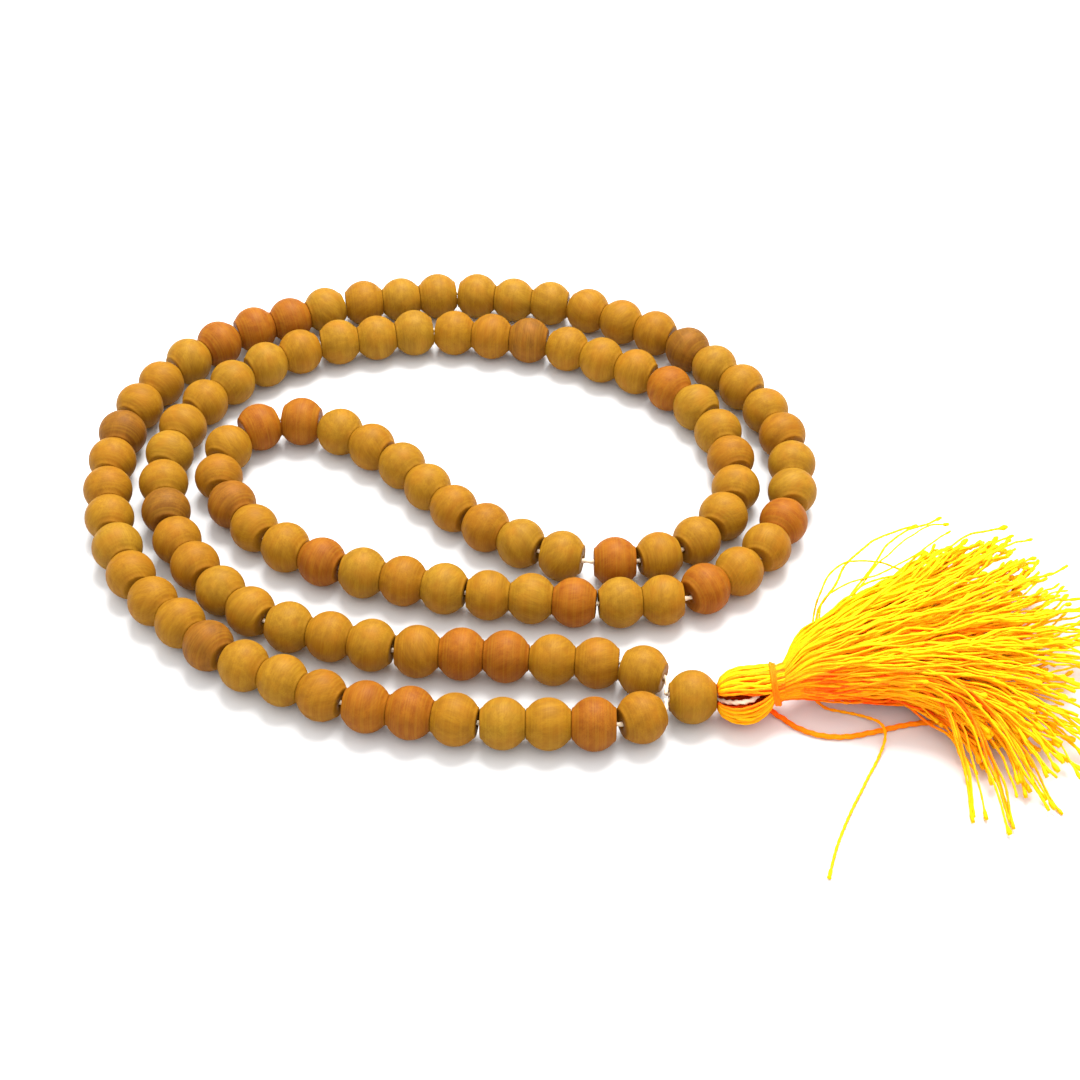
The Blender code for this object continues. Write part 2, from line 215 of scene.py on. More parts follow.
# Single threads that stand off the skirt
FLYAWAYS = (
    ((30.0, -33.8, 6.8), (33.4, -29.6, 8.0), (34.0, -25.6, 9.6), (34.6, -24.0, 11.6),
     (36.2, -21.6, 13.4), (39.4, -18.9, 13.6), (44.3, -17.0, 11.8), (49.0, -17.2, 9.8), (55.5, -18.5, 8.0)),
    ((30.0, -34.0, 6.8), (33.5, -29.0, 8.4), (34.9, -24.8, 10.2), (37.0, -22.6, 12.2),
     (38.8, -18.9, 12.8), (41.7, -14.9, 11.8), (46.2, -9.4, 9.8), (52.1, -4.4, 7.0)),
    ((30.0, -34.2, 6.7), (33.8, -29.4, 8.9), (35.3, -25.0, 12.0), (38.7, -23.0, 12.9),
     (43.5, -20.3, 12.4), (50.0, -15.0, 11.0), (56.5, -8.0, 9.4)),
    ((30.0, -34.6, 6.6), (38.0, -26.5, 12.0), (46.0, -13.4, 11.6), (52.0, -6.2, 8.4), (56.3, -1.9, 6.2)),
    ((30.0, -34.2, 6.6), (38.5, -26.0, 12.0), (47.5, -13.0, 11.2), (54.0, -6.0, 8.2), (57.6, -3.1, 6.1)),
    ((30.0, -34.6, 6.6), (40.0, -28.0, 12.6), (52.0, -16.5, 12.0), (60.0, -8.4, 8.8), (66.4, -3.9, 6.2)),
    ((30.0, -34.6, 6.6), (41.0, -29.5, 12.6), (55.5, -20.0, 12.2), (64.5, -11.5, 9.4), (70.0, -6.5, 6.3)),
    ((30.0, -34.8, 6.4), (42.0, -32.0, 12.6), (58.0, -25.0, 11.6), (68.5, -17.5, 8.8), (74.3, -12.6, 6.2)),
)
# Locks that hang apart at the skirt's near corner
NEAR_LOCKS = (
    ((30.6, -36.4, 5.6), (42.0, -36.8, 9.2), (51.5, -42.0, 7.0), (54.3, -50.0, 3.4), (55.0, -57.9, 0.5)),
    ((30.6, -36.2, 6.0), (43.0, -36.4, 10.0), (53.0, -42.0, 8.0), (57.0, -50.0, 3.6), (58.8, -58.6, 0.5)),
    ((30.6, -35.8, 6.4), (43.0, -35.8, 11.2), (55.0, -41.0, 9.4), (61.5, -48.0, 4.8), (66.3, -55.4, 0.6)),
)

# The binding's loose end, from the neck along the table to under the skirt
TAIL_ROUTE = (
    (26.4, -36.6, 1.5), (28.2, -37.5, 0.6), (29.2, -38.2, 0.42), (30.4, -39.4, 0.42), (32.0, -40.4, 0.42),
    (33.6, -41.1, 0.42), (35.4, -41.5, 0.42), (37.2, -41.6, 0.42), (39.2, -41.4, 0.42), (41.2, -40.9, 0.42),
    (43.2, -40.4, 0.42), (45.2, -39.8, 0.42), (47.2, -39.3, 0.42), (49.2, -39.0, 0.42), (51.2, -38.8, 0.42),
    (53.2, -38.9, 0.42), (55.2, -39.3, 0.42), (57.0, -39.8, 0.42), (58.8, -40.6, 0.42),
)
# The stray thread, from under the skirt over the tail and along the table to its cut end
STRAY_ROUTE = (
    (32.4, -34.6, 3.6), (33.8, -35.4, 1.8), (35.5, -36.2, 0.6), (37.6, -36.6, 0.3), (39.6, -37.2, 0.4),
    (41.4, -38.2, 0.8), (42.9, -39.5, 1.3), (43.5, -41.0, 1.45), (43.4, -42.6, 1.1), (42.6, -44.6, 0.5),
    (41.6, -46.6, 0.3), (40.4, -48.8, 0.27), (39.2, -51.2, 0.27), (37.9, -53.7, 0.27), (36.7, -56.2, 0.27),
    (35.6, -58.7, 0.27), (34.6, -61.2, 0.27), (33.8, -63.7, 0.27), (33.0, -66.4, 0.27),
)


# ---------------------------------------------------------------- curves and meshes

def smooth_line(points, steps=10):
    """Points of a centripetal Catmull-Rom curve through the given ones."""
    given = [Vector(p) for p in points]
    given = [2 * given[0] - given[1], *given, 2 * given[-1] - given[-2]]
    line = []
    for a, b, c, d in zip(given, given[1:], given[2:], given[3:]):
        t1 = (b - a).length ** 0.5
        t2 = t1 + (c - b).length ** 0.5
        t3 = t2 + (d - c).length ** 0.5
        for k in range(steps):
            t = t1 + (t2 - t1) * k / steps
            ab = a.lerp(b, t / t1)
            bc = b.lerp(c, (t - t1) / (t2 - t1))
            cd = c.lerp(d, (t - t2) / (t3 - t2))
            abc = ab.lerp(bc, t / t2)
            bcd = bc.lerp(cd, (t - t1) / (t3 - t1))
            line.append(abc.lerp(bcd, (t - t1) / (t2 - t1)))
    line.append(given[-2])
    return np.array([tuple(p) for p in line])


def evenly(line, count):
    """The line again, as this many evenly spaced points."""
    steps = np.linalg.norm(np.diff(line, axis=0), axis=1)
    along = np.concatenate([[0.0], np.cumsum(steps)])
    at = np.linspace(0.0, along[-1], count)
    return np.stack([np.interp(at, along, line[:, k]) for k in range(3)], axis=1)


def length_of(line):
    return float(np.linalg.norm(np.diff(line, axis=0), axis=1).sum())


def lie_on_table(line, radii):
    """The line, lifted where the thread round it would go through the table."""
    line[:, 2] = np.maximum(line[:, 2], np.asarray(radii) + 0.02)
    return line


def linked(name, data):
    """A new object of the scene, with this mesh, camera or lamp."""
    made = bpy.data.objects.new(name, data)
    bpy.context.scene.collection.objects.link(made)
    return made


class Strands:
    """Twisted threads that become one mesh. Each is a tube with as many lobes as it has plies."""

    def __init__(self):
        self.points, self.faces, self.shades, self.count = [], [], [], 0

    def add(self, line, diameter, shade=0.5, twist=THREAD_TWIST, plies=2, sides=8, depth=THREAD_LOBES,
            start=0.0, swell=None):
        """One thread along evenly spaced points. shade goes from deep at 0 to pale at 1, and swell is its
        thickness along the line, 1 where it is plain."""
        rings = len(line)
        ahead = np.gradient(line, axis=0)
        ahead /= np.linalg.norm(ahead, axis=1)[:, None]
        side = np.cross(ahead[0], (0.31, 0.17, 0.93))
        sideways = np.empty_like(ahead)
        for k in range(rings):
            side = side - ahead[k] * (side @ ahead[k])
            side = side / np.linalg.norm(side)
            sideways[k] = side
        upright = np.cross(ahead, sideways)
        step = length_of(line) / (rings - 1)
        angle = 2 * pi * np.arange(sides) / sides
        turn = start + 2 * pi * step * np.arange(rings)[:, None] / twist
        lobes = 1.0 - depth + depth * np.cos(plies * (angle[None, :] - turn))
        swelling = np.ones(rings) if swell is None else swell
        radius = diameter / 2 * lobes * swelling[:, None]
        ring = (line[:, None, :]
                + (radius * np.cos(angle))[:, :, None] * sideways[:, None, :]
                + (radius * np.sin(angle))[:, :, None] * upright[:, None, :])
        base = self.count
        self.points.append(ring.reshape(-1, 3))
        first = np.arange(rings - 1)[:, None] * sides
        here = np.arange(sides)[None, :]
        after = (here + 1) % sides
        quads = np.stack([first + here, first + after, first + sides + after, first + sides + here], axis=2)
        self.faces += (quads.reshape(-1, 4) + base).tolist()
        self.faces.append([base + k for k in reversed(range(sides))])
        self.faces.append([base + (rings - 1) * sides + k for k in range(sides)])
        self.shades.append(np.repeat(np.broadcast_to(shade, rings), sides))
        self.count += rings * sides

    def build(self, name, finish):
        """The object, in metres, shaded smooth."""
        points = np.concatenate(self.points) * MM
        mesh = bpy.data.meshes.new(name)
        mesh.from_pydata(points.tolist(), [], self.faces)
        mesh.shade_smooth()
        shade = mesh.attributes.new("shade", "FLOAT", "POINT")
        shade.data.foreach_set("value", np.concatenate(self.shades).astype(np.float32))
        mesh.materials.append(finish)
        return linked(name, mesh)


def turned(name, outline, sides, finish):
    """A mesh of revolution about Z. The closed outline is (radius, height), round its solid side."""
    rings = len(outline)
    points, faces = [], []
    for k in range(sides):
        angle = 2 * pi * k / sides
        for radius, height in outline:
            points.append((radius * cos(angle) * MM, radius * sin(angle) * MM, height * MM))
    for k in range(sides):
        after = (k + 1) % sides
        for ring in range(rings):
            above = (ring + 1) % rings
            faces.append((k * rings + ring, k * rings + above, after * rings + above, after * rings + ring))
    mesh = bpy.data.meshes.new(name)
    mesh.from_pydata(points, [], faces)
    mesh.shade_smooth()
    mesh.materials.append(finish)
    return linked(name, mesh)


# ---------------------------------------------------------------- materials

class Nodes:
    """A new material's nodes, made by name and linked by socket."""

    def __init__(self, name):
        self.material = bpy.data.materials.new(name)
        self.material.use_nodes = True
        self.tree = self.material.node_tree
        self.shader = self.tree.nodes["Principled BSDF"]

    def add(self, kind, inputs=None, **settings):
        node = self.tree.nodes.new("ShaderNode" + kind)
        for key, value in settings.items():
            setattr(node, key, value)
        for socket, value in (inputs or {}).items():
            self.put(node.inputs[socket], value)
        return node

    def put(self, socket, value):
        """Sets a socket to a number or links it to another node's output."""
        if isinstance(value, bpy.types.NodeSocket):
            self.tree.links.new(value, socket)
        else:
            socket.default_value = value

    def finish(self, **inputs):
        for name, value in inputs.items():
            self.put(self.shader.inputs[name.replace("_", " ")], value)
        return self.material

    def ramp(self, factor, stops):
        """A colour ramp with stops of (place, linear RGB)."""
        node = self.add("ValToRGB", {"Fac": factor})
        stop = node.color_ramp.elements
        while len(stop) < len(stops):
            stop.new(1.0)
        for element, (place, colour) in zip(stop, stops):
            element.position = place
            element.color = (*colour, 1.0)
        return node.outputs["Color"]

    def marks(self, noise, start, full, strength):
        """How strongly marks show where a noise goes from one value to another."""
        shown = self.ramp(noise.outputs["Fac"], ((start, (0, 0, 0)), (full, (1, 1, 1))))
        return self.maths("MULTIPLY", shown, strength)

    def mix(self, factor, a, b):
        node = self.add("Mix", data_type="RGBA", blend_type="MIX")
        self.put(node.inputs["Factor"], factor)
        self.put(node.inputs[6], a)
        self.put(node.inputs[7], b)
        return node.outputs[2]

    def maths(self, operation, a, b=0.0):
        node = self.add("Math", {0: a, 1: b}, operation=operation)
        return node.outputs[0]


def wood_material():
    """Matt turned wood. Each bead has its own tone, and its own turn and place in the grain."""
    n = Nodes("turned_wood")
    place = n.add("TexCoord").outputs["Object"]
    tone = n.add("Attribute", attribute_type="OBJECT", attribute_name="tone").outputs["Fac"]
    shift = n.add("Attribute", attribute_type="OBJECT", attribute_name="grain_shift").outputs["Vector"]
    angles = n.add("Attribute", attribute_type="OBJECT", attribute_name="grain_turn").outputs["Vector"]
    moved = n.add("VectorMath", {0: place, 1: shift}, operation="ADD").outputs[0]
    grain = n.add("VectorRotate", {"Vector": moved, "Rotation": angles}, rotation_type="EULER_XYZ")
    grain = grain.outputs[0]
    long_grain = n.add("Mapping", {"Vector": grain, "Scale": (1.0, 1.0, 0.12)}).outputs[0]
    growth = n.add("TexNoise", {"Vector": long_grain, "Scale": 900.0, "Detail": 2.0, "Roughness": 0.5})
    fibres = n.add("TexNoise", {"Vector": long_grain, "Scale": 5200.0, "Detail": 2.0, "Roughness": 0.6})
    blotch = n.add("TexNoise", {"Vector": moved, "Scale": 330.0, "Detail": 2.0})
    rings = n.add("Mapping", {"Vector": place, "Scale": (0.02, 0.02, 1.0)}).outputs[0]
    rings = n.add("TexNoise", {"Vector": rings, "Scale": 3600.0, "Detail": 2.0, "Roughness": 0.7})

    light, dark = n.ramp(tone, LIGHT_WOOD), n.ramp(tone, DARK_WOOD)
    colour = n.mix(n.marks(growth, 0.36, 0.66, BAND_STRENGTH), light, dark)
    colour = n.mix(n.marks(fibres, 0.42, 0.66, FIBRE_STRENGTH), colour, dark)
    colour = n.mix(n.marks(blotch, 0.46, 0.72, RUDDY_STRENGTH), colour, RUDDY_WOOD)
    colour = n.mix(n.marks(rings, 0.44, 0.62, TURNED_STRENGTH), colour, TURNED_WOOD)

    height = n.maths("MULTIPLY", fibres.outputs["Fac"], 0.6)
    height = n.maths("ADD", height, n.maths("MULTIPLY", rings.outputs["Fac"], 0.6))
    bump = n.add("Bump", {"Strength": 0.3, "Distance": 0.00004, "Height": height}).outputs[0]
    return n.finish(Base_Color=colour, Roughness=0.55, Normal=bump, Specular_IOR_Level=0.1)


def thread_material(name, colours, through=0.0):
    """Thread of three colours. The mesh's shade, which holds each thread's tone and, in the tassel, painted
    light and shade, goes from deep at 0 to pale at 1, and through is how much light soaks in."""
    pale, plain, deep = colours
    n = Nodes(name)
    place = n.add("TexCoord").outputs["Object"]
    shade = n.add("Attribute", attribute_name="shade").outputs["Fac"]
    fibres = n.add("TexNoise", {"Vector": place, "Scale": 3600.0, "Detail": 2.0})
    slow = n.add("TexNoise", {"Vector": place, "Scale": 260.0, "Detail": 2.0})
    for noise, size in ((fibres, FLECK), (slow, MOTTLE)):
        either_way = n.maths("SUBTRACT", noise.outputs["Fac"], 0.5)
        shade = n.maths("ADD", shade, n.maths("MULTIPLY", either_way, size))
    colour = n.ramp(shade, ((0.02, deep), (0.5, plain), (0.98, pale)))
    return n.finish(Base_Color=colour, Roughness=0.7, Specular_IOR_Level=0.12,
                    Subsurface_Weight=through, Subsurface_Radius=(1.0, 0.3, 0.05), Subsurface_Scale=0.0006)


def floor_material():
    """A plain matt white table."""
    n = Nodes("white_table")
    grain = n.add("TexNoise", {"Scale": 40.0, "Detail": 2.0})
    colour = n.ramp(grain.outputs["Fac"], ((0.3, (0.66, 0.66, 0.66)), (0.7, (0.68, 0.68, 0.68))))
    return n.finish(Base_Color=colour, Roughness=0.9, Specular_IOR_Level=0.1)


# ---------------------------------------------------------------- camera, light and floor

def make_camera():
    data = bpy.data.cameras.new("camera")
    data.sensor_width = SENSOR_WIDTH
    data.lens = CAMERA_LENS
    data.clip_start = 0.01
    data.clip_end = 20.0
    camera = linked("camera", data)
    camera.location = Vector(CAMERA_PLACE) * MM
    camera.rotation_euler = (radians(CAMERA_TILT), 0.0, 0.0)
    bpy.context.scene.camera = camera


def make_light():
    """White light from all round, stronger overhead, and a large soft lamp above and behind the beads."""
    world = bpy.data.worlds.new("white_room")
    world.use_nodes = True
    tree = world.node_tree
    background = tree.nodes["Background"]
    direction = tree.nodes.new("ShaderNodeTexCoord")
    split = tree.nodes.new("ShaderNodeSeparateXYZ")
    strength = tree.nodes.new("ShaderNodeMapRange")
    strength.inputs["To Min"].default_value = SKY_AT_HORIZON
    strength.inputs["To Max"].default_value = SKY_OVERHEAD
    tree.links.new(direction.outputs["Generated"], split.inputs[0])
    tree.links.new(split.outputs["Z"], strength.inputs["Value"])
    tree.links.new(strength.outputs["Result"], background.inputs["Strength"])
    background.inputs["Color"].default_value = (1.0, 1.0, 1.0, 1.0)
    bpy.context.scene.world = world
    lamp = bpy.data.lights.new("key", "AREA")
    lamp.shape = "DISK"
    lamp.size = KEY_SIZE * MM
    lamp.energy = KEY_POWER
    key = linked("key", lamp)
    key.location = Vector(KEY_PLACE) * MM
    key.rotation_euler = key.location.to_track_quat("Z", "Y").to_euler()
    bpy.context.scene.view_settings.view_transform = "Standard"


def make_floor():
    half = FLOOR_SIZE / 2 * MM
    corners = [(-half, -half, 0), (half, -half, 0), (half, half, 0), (-half, half, 0)]
    mesh = bpy.data.meshes.new("table_top")
    mesh.from_pydata(corners, [], [(0, 1, 2, 3)])
    mesh.materials.append(floor_material())
    floor = linked("table_top", mesh)


# ---------------------------------------------------------------- string and cords

def make_loop_string(finish):
    """The string through all the beads, of two plies, from the guru bead's mouth and back to it."""
    mouth = GURU_MOUTH - STRING_START
    points = [(mouth, NEAR_LEG), *ROUTE, (mouth, FAR_LEG)]
    line = smooth_line([(x, y, STRING_HEIGHT) for x, y in points], 20)
    line = evenly(line, int(length_of(line) / STRING_STEP))
    string = Strands()
    string.add(line, STRING_DIAMETER, twist=STRING_TWIST, depth=STRING_LOBES)
    string = string.build("string_through_beads", finish)
    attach(string, "string")
    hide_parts("loop_string")
    length_of(line) * MM


def make_table_thread(name, route, diameter, node, finish, plies, flare):
    """A loose thread on the table, which is a cord of its own. flare is how far its cut end opens."""
    line = smooth_line(route)
    line = evenly(line, int(length_of(line) / TABLE_STEP))
    along = np.linspace(0.0, length_of(line), len(line))
    to_end = along[-1] - along
    # The flare is in the last 1.6 mm. The thread is deep where it starts, as painted shade under the
    # tassel, and pale at its cut end.
    swell = 1.0 + flare * np.clip(1.0 - to_end / 1.6, 0.0, 1.0) ** 0.5
    line[:, 2] = np.maximum(line[:, 2], diameter / 2 * swell + 0.01)
    shade = np.interp(along, [0.0, 3.0, 9.0], [0.0, 0.3, 0.6])
    shade = shade + 0.4 * np.clip(1.0 - to_end / 2.0, 0.0, 1.0)
    thread = Strands()
    thread.add(line, diameter, shade=shade, twist=diameter * TABLE_TWIST, plies=plies, sides=12,
               depth=TABLE_LOBES, swell=swell)
    thread = thread.build(name, finish)
    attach(thread, "tassel")
    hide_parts(node)
    length_of(line) * MM


# ---------------------------------------------------------------- beads

def bead_outline(radius, top, bottom, bore):
    """A bead's outline down its outer side and back up its bore: an ellipse cut off by two flat ends
    at these heights, with rounded edges."""
    crown = BEAD_CROWN / 2
    start, stop = asin((top - EDGE_ROUNDING) / crown), asin((EDGE_ROUNDING - bottom) / crown)
    outline = []
    for k in range(BEAD_RINGS + 1):
        angle = start + (stop - start) * k / BEAD_RINGS
        outline.append((radius * cos(angle), crown * sin(angle)))
    edge_above = [(outline[0][0] - EDGE_ROUNDING * inward, top - EDGE_ROUNDING * drop)
                  for inward, drop in EDGE_STEPS]
    edge_below = [(outline[-1][0] - EDGE_ROUNDING * inward, EDGE_ROUNDING * drop - bottom)
                  for inward, drop in reversed(EDGE_STEPS)]
    bored = [(bore + BORE_LIP, -bottom), (bore, BORE_LIP - bottom),
             (bore, top - BORE_LIP), (bore + BORE_LIP, top)]
    return edge_above + outline + edge_below + bored


def wood_slot(number):
    """The kind of wood for this bead, from the lists of russet and brown beads."""
    if number in RUSSET_BEADS:
        return "wood_russet"
    return "wood_tan" if number in BROWN_BEADS else "wood_golden"


def make_bead(number, name, centre, direction, ends, bore, finish):
    """One bead with its axis along a level direction, its ends this far ahead and behind. Its size, tone
    and grain are random, from its number."""
    dice = random.Random(number)
    radius = BEAD_DIAMETER / 2 * dice.uniform(SMALLEST_BEAD, 1.0)
    bead = turned(name, bead_outline(radius, *ends, bore), BEAD_SIDES, finish)
    across = Vector((0.0, 0.0, 1.0)).cross(direction)
    level = Matrix((Vector((0.0, 0.0, 1.0)), across, direction)).transposed().to_4x4()
    place = Vector((centre.x, centre.y, radius)) * MM
    bead.matrix_world = Matrix.Translation(place) @ level
    bead["tone"] = dice.uniform(*WOOD_TONES[wood_slot(number)])
    bead["grain_shift"] = [dice.uniform(-1.0, 1.0) for _ in range(3)]
    bead["grain_turn"] = [dice.uniform(0.0, pi) for _ in range(3)]
    return bead


def meeting_gap(angle):
    """The gap along the string at which two beads that turn by this angle touch at their edges."""
    half = BEAD_LENGTH / 2
    edge = BEAD_DIAMETER / 2 * (1 - (half / (BEAD_CROWN / 2)) ** 2) ** 0.5
    return 2 * edge * tan(angle / 2)


def bead_pieces():
    """The CAD's straight pieces in order along the string: body, first bead, count, middle, direction."""
    pieces = []
    for joint in frame["joints"]:
        body = joint["child"]
        if not body.startswith("bead"):
            continue
        numbers = [int(part) for part in body.split("_")[1:]]
        count = numbers[-1] - numbers[0] + 1
        middle, direction = Vector(joint["pos_m"]) / MM, Vector(joint["axis"])
        pieces.append((body, numbers[0], count, middle, direction))
    return sorted(pieces, key=lambda piece: piece[1])


def make_beads(finish):
    """All the beads of the loop, each on its piece's body. End beads reach for their neighbours."""
    pieces = bead_pieces()
    reach = [0.0]
    for (_, _, count, middle, direction), (_, _, count_2, middle_2, direction_2) in zip(pieces, pieces[1:]):
        end = middle + direction * count * BEAD_LENGTH / 2
        start = middle_2 - direction_2 * count_2 * BEAD_LENGTH / 2
        gap = (start - end).length
        slack = (gap - meeting_gap(direction.angle(direction_2))) / 2
        reach.append(0.0 if gap > SLACK_GAP else slack)
    reach.append(0.0)
    for k, (body, first, count, middle, direction) in enumerate(pieces):
        for place in range(count):
            number = first + place
            ahead = BEAD_LENGTH / 2 + (reach[k + 1] if place == count - 1 else 0.0)
            behind = BEAD_LENGTH / 2 + (reach[k] if place == 0 else 0.0)
            centre = middle + direction * (place - (count - 1) / 2) * BEAD_LENGTH
            bead = make_bead(number, f"wood_bead_{number:03d}", centre, direction, (ahead, behind),
                             BORE_RADIUS, finish)
            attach(bead, body)
            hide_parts(body)


def make_guru(finish):
    """The bead that both ends of the string meet at."""
    centre = Vector((*GURU_CENTRE, STRING_HEIGHT))
    ends = (GURU_LENGTH / 2, GURU_LENGTH / 2)
    bead = make_bead(GURU_NUMBER, "wood_guru_bead", centre, Vector((1.0, 0.0, 0.0)), ends,
                     GURU_BORE_RADIUS, finish)
    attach(bead, "guru")
    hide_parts("guru_bead")


# ---------------------------------------------------------------- tassel

def make_string_loop(finish):
    """Two strands from the guru bead into the head's eye and round the fold of its thread."""
    points = [(GURU_MOUTH, NEAR_LEG, STRING_HEIGHT), (GURU_BACK, NEAR_LEG, STRING_HEIGHT), *RING_ROUTE,
              (GURU_BACK, FAR_LEG, STRING_HEIGHT), (GURU_MOUTH, FAR_LEG, STRING_HEIGHT)]
    line = smooth_line(points, 12)
    line = evenly(line, int(length_of(line) / FINE_STEP))
    loop = Strands()
    loop.add(line, STRING_DIAMETER, twist=STRING_TWIST, sides=12, depth=LOOP_LOBES)
    loop = loop.build("string_through_guru", finish)
    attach(loop, "guru_loop")
    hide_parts("string_loop")


def head_radius(part):
    """The head's radius at a part of its length: blunt at the guru bead, drawn in at the neck. The
    sixth powers blend the ball into the neck."""
    if part < 0.5:
        return HEAD_RADIUS * sin(pi * part) ** 0.3
    ball = HEAD_RADIUS * max(sin(pi * part), 0.0) ** 0.2
    neck = NECK_RADIUS * (2 * part - 1) ** 0.5
    return (ball ** 6 + neck ** 6) ** (1 / 6)


def head_axis(part):
    """A point of the head's middle line, from the guru bead over the ball's middle to the neck."""
    front, middle, neck = Vector(HEAD_FRONT), Vector(HEAD_MIDDLE), Vector(NECK_PLACE)
    if part < 0.5:
        return front.lerp(middle, 2 * part)
    past = 2 * part - 1
    point = middle.lerp(neck, past ** 1.8)
    point.x = middle.x + (neck.x - middle.x) * past
    return point


def head_thread(angle, layer, dice):
    """A thread of the head from the string over the ball to the neck, pushed aside by the eye. layer is
    how deep it lies under the surface."""
    points = []
    lean = dice.gauss(0.0, 0.07)
    wave, phase = dice.uniform(0.02, 0.07), dice.uniform(0.0, 2 * pi)
    away = (angle - radians(180.0 + EYE_ANGLE) + pi) % (2 * pi) - pi
    side = 1.0 if away >= 0 else -1.0
    steps = 16
    for k in range(steps + 1):
        part = 0.015 + 0.985 * k / steps
        # The eye is widest in the ball's front half and opens further in the deeper layers
        along_eye = max(sin(pi * (part + 0.2) / 1.15), 0.0)
        pushed = EYE_OPENING / head_radius(part) * along_eye * (1.0 + 0.5 * layer)
        turn = angle + side * pushed * max(0.0, 1.0 - abs(away) / 1.1)
        turn += lean * sin(pi * part) + wave * sin(7.0 * part + phase) * sin(pi * part)
        radius = max(head_radius(part) - layer * (0.4 + 0.6 * sin(pi * part)), 0.3)
        centre = head_axis(part)
        points.append((centre.x, centre.y + radius * cos(turn), centre.z - radius * sin(turn)))
    end = Vector(NECK_END)
    radius = max(NECK_RADIUS - 0.4 * layer, 0.3)
    points.append((end.x, end.y + radius * cos(angle), end.z - radius * sin(angle)))
    return points


def make_head(finish):
    """The folded hank of thread: layers of threads that are open at the eye, with painted shade that
    makes them deeper inside, below and at both ends."""
    dice = random.Random(HEAD_SEED)
    threads = Strands()
    part = np.linspace(0.0, 1.0, HEAD_RINGS)
    # Painted shade: threads are deeper at the fold by the guru bead and where they go into the neck
    fold_shade = 0.45 * np.exp(-part / 0.035)
    neck_shade = 0.25 * np.clip((part - 0.8) / 0.1, 0.0, 1.0)
    for depth, (layer, count) in enumerate(HEAD_LAYERS):
        for k in range(count):
            angle = 2 * pi * (k + 0.5) / count + dice.uniform(-0.04, 0.04)
            points = head_thread(angle, layer + dice.uniform(-0.12, 0.14), dice)
            line = lie_on_table(evenly(smooth_line(points, 6), HEAD_RINGS), THREAD_DIAMETER / 2)
            # Painted shade on top of each thread's random tone: deeper in the inner layers and on the
            # underside
            under = 0.5 + 0.5 * sin(angle)
            tone = dice.uniform(0.3, 1.0) - 0.25 * depth - 0.25 * under
            shade = tone - fold_shade - neck_shade
            threads.add(line, THREAD_DIAMETER * dice.uniform(0.85, 1.15), shade=shade,
                        start=dice.uniform(0.0, pi))
    head = threads.build("tassel_head_threads", finish)
    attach(head, "tassel")
    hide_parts("tassel_head")


def make_binding(finish):
    """Orange thread wound three times round the neck, slightly slanted, over the ball's shoulder."""
    points = []
    steps = WINDING_TURNS * WINDING_STEPS
    for k in range(steps + 1):
        angle = 2 * pi * k / WINDING_STEPS
        along = (k / steps - 0.5) * WINDING_WIDTH
        x = NECK_PLACE[0] + WINDING_SHIFT + along - WINDING_SLANT * NECK_RADIUS * sin(angle)
        part = min(0.5 + 0.5 * (x - HEAD_MIDDLE[0]) / (NECK_PLACE[0] - HEAD_MIDDLE[0]), 1.0)
        centre = head_axis(part)
        radius = head_radius(part) + WINDING_LIFT + 0.03 * sin(3 * angle)
        points.append((x, centre.y + radius * cos(angle), centre.z + radius * sin(angle)))
    line = smooth_line(points, 2)
    line = evenly(line, int(length_of(line) / FINE_STEP))
    winding = Strands()
    winding.add(line, WINDING_DIAMETER, shade=0.35, twist=WINDING_TWIST, sides=10)
    winding = winding.build("neck_winding", finish)
    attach(winding, "tassel")
    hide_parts("tassel_binding")


def skirt_rays():
    """The skirt's top threads as rows of evenly spaced points, and its underside's height at each."""
    rays = np.array([evenly(smooth_line(route), FAN_STEPS + 1) for route in SKIRT_TOP])
    along = np.linspace(0.0, 1.0, FAN_STEPS + 1)
    underside = np.interp(along, np.linspace(0.0, 1.0, len(SKIRT_UNDERSIDE)), SKIRT_UNDERSIDE)
    return rays, underside


def within(share):
    """The share, held from 0 to 1."""
    return min(max(share, 0.0), 1.0)


def fan_point(fan, along, across, height):
    """A point of the skirt: along 0 to 1 from the neck to the tips, across 0 to 1 from the far to
    the near edge, and height 0 to 1 from the underside to the top."""
    rays, underside = fan
    row = within(across) * (len(rays) - 1)
    near = min(int(row), len(rays) - 2)
    ray = rays[near] + (rays[near + 1] - rays[near]) * (row - near)
    place = min(along, 1.0) * FAN_STEPS
    step = min(int(place), FAN_STEPS - 1)
    point = ray[step] + (ray[step + 1] - ray[step]) * (place - step)
    under = min(underside[step], point[2])
    # The underside rises towards the far edge, and in the near half it goes back under the skirt
    edge = (1.0 - (4 * across * (1 - across)) ** 0.5) * 0.6 if 0 < across < 0.5 else 0.0
    drop = (point[2] - under) * (1.0 - height) * (1.0 - edge)
    point = point + np.array([0.0, drop * max(2 * across - 1, 0.0), -drop])
    if along > 1.0:
        point = point + (ray[-1] - ray[-2]) * (along - 1.0) * FAN_STEPS
    return point


def neck_point(x, across, height):
    """Where a skirt thread passes through the neck."""
    down = (1 - 2 * across) * NECK_RADIUS * NECK_FILL
    aside = (2 * height - 1) * (max(1 - (1 - 2 * across) ** 2, 0.0)) ** 0.5 * NECK_RADIUS * NECK_FILL
    diagonal = 0.5 ** 0.5
    return (x, NECK_PLACE[1] + diagonal * (down - aside), NECK_PLACE[2] + diagonal * (down + aside))


def waved(line, dice, size):
    """The line with a thread's small kinks, which grow from nothing at its start."""
    total = length_of(line)
    along = np.linspace(0.0, total, len(line))
    grow = np.clip(along / (KINK_SETTLE * total), 0.0, 1.0) ** 1.5
    for wave, share in KINKS:
        for axis, weight in enumerate(KINK_WEIGHTS):
            phase = dice.uniform(0.0, 2 * pi)
            length = wave * dice.uniform(0.75, 1.3)
            line[:, axis] += size * share * weight * grow * np.sin(2 * pi * along / length + phase)
    return line


